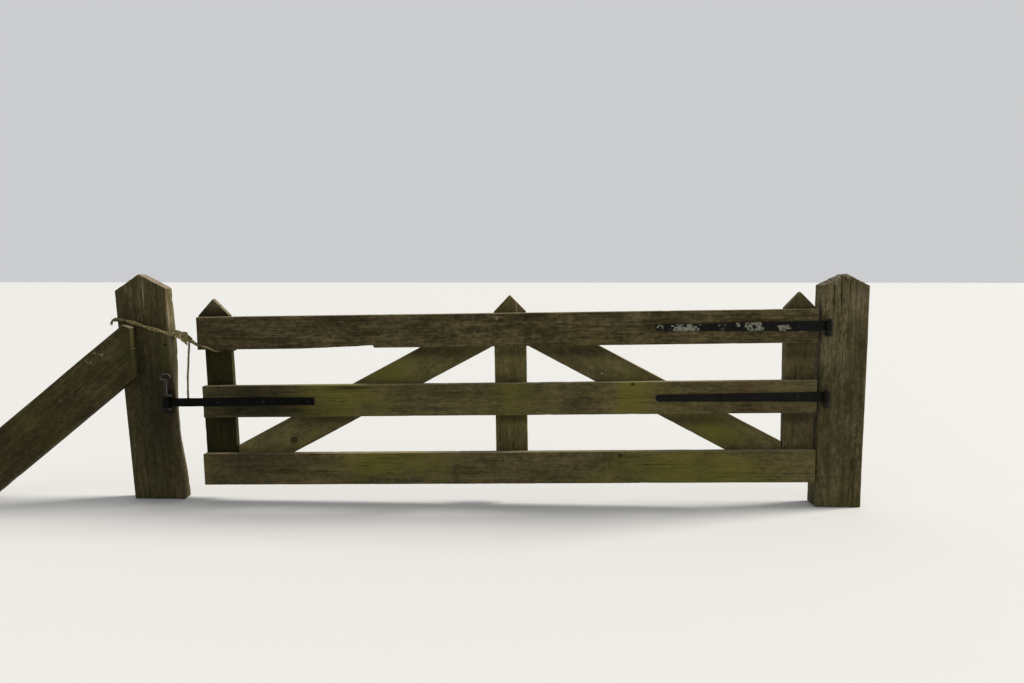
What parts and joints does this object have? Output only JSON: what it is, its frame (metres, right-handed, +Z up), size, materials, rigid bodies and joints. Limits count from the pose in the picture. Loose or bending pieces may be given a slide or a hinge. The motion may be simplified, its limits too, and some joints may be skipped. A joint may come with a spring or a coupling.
{
  "type": "wooden field gate",
  "caption": "Low wooden field gate: a board leaf with two rising braces and pointed uprights, hung on iron straps between gable-topped posts and tied shut with rope.",
  "frame": {"origin": "centre of the hinge post's foot, on the ground", "axes": "+X along the gate from the latch post to the hinge post, +Y through it away from the side with the straps, +Z up"},
  "size_m": [5.621, 0.23, 1.355],
  "materials": {
    "board_wood": "weathered, green with algae",
    "post_wood": "weathered grey-brown, cracked",
    "forged_iron": "black with rust and lichen",
    "pin_steel": "dull galvanised",
    "rope": "frayed hemp"
  },
  "bodies": {
    "posts": {"hinge_post": "post_wood", "latch_post": "post_wood", "raking_board": "post_wood", "upper_pintle": "forged_iron", "lower_pintle": "forged_iron", "latch_keeper": "forged_iron", "rope_loop": "rope", "rope_knot": "rope", "rope_tail": "rope"},
    "leaf": {"top_rail": "board_wood", "middle_rail": "board_wood", "bottom_rail": "board_wood", "latch_stile": "board_wood", "middle_upright": "board_wood", "hinge_stile": "board_wood", "latch_brace": "board_wood", "hinge_brace": "board_wood", "upper_strap": "forged_iron", "lower_strap": "forged_iron", "latch_bar": "forged_iron", "rope_tie": "rope"},
    "drop_pin": {"drop_pin": "pin_steel"}
  },
  "joints": [
    {"name": "leaf_swing", "type": "hinge", "parent": "posts", "child": "leaf", "pos_m": [-0.102, -0.0981, 0.653], "axis": [0, 0, 1], "range_deg": [0, 105]},
    {"name": "drop_pin_slide", "type": "slide", "parent": "posts", "child": "drop_pin", "axis": [0, 0, 1], "range_m": [-0.083, 0]}
  ]
}
